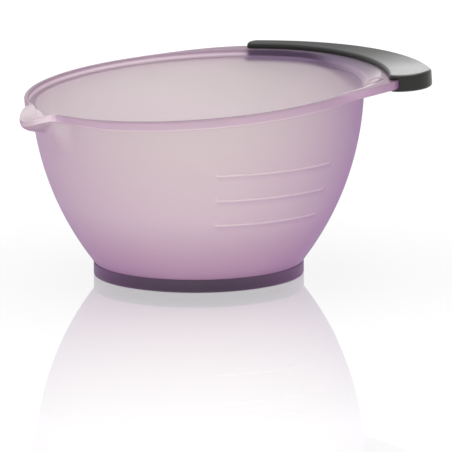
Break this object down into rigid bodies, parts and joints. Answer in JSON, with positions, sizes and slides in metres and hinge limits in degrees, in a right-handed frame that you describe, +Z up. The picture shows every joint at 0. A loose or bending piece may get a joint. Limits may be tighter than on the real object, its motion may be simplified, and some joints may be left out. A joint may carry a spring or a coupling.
{
  "type": "hair color bowl",
  "caption": "Round translucent mixing bowl with a slanted collared rim, a pouring spout, a soft grip moulded on the rim flange and a non-slip foot pad.",
  "frame": {"origin": "on the bowl's axis, on the plane that its foot pad rests on", "axes": "+Z up along the bowl's axis, +X towards the grip side, -X towards the pouring spout"},
  "size_m": [0.153, 0.1302, 0.0791],
  "materials": {
    "translucent_polypropylene": "satin, translucent lilac",
    "grip_rubber": "satin black soft-touch",
    "pad_rubber": "matte black"
  },
  "bodies": {
    "root": {"bowl_shell": "translucent_polypropylene", "grip": "grip_rubber", "base_pad": "pad_rubber"}
  },
  "joints": []
}
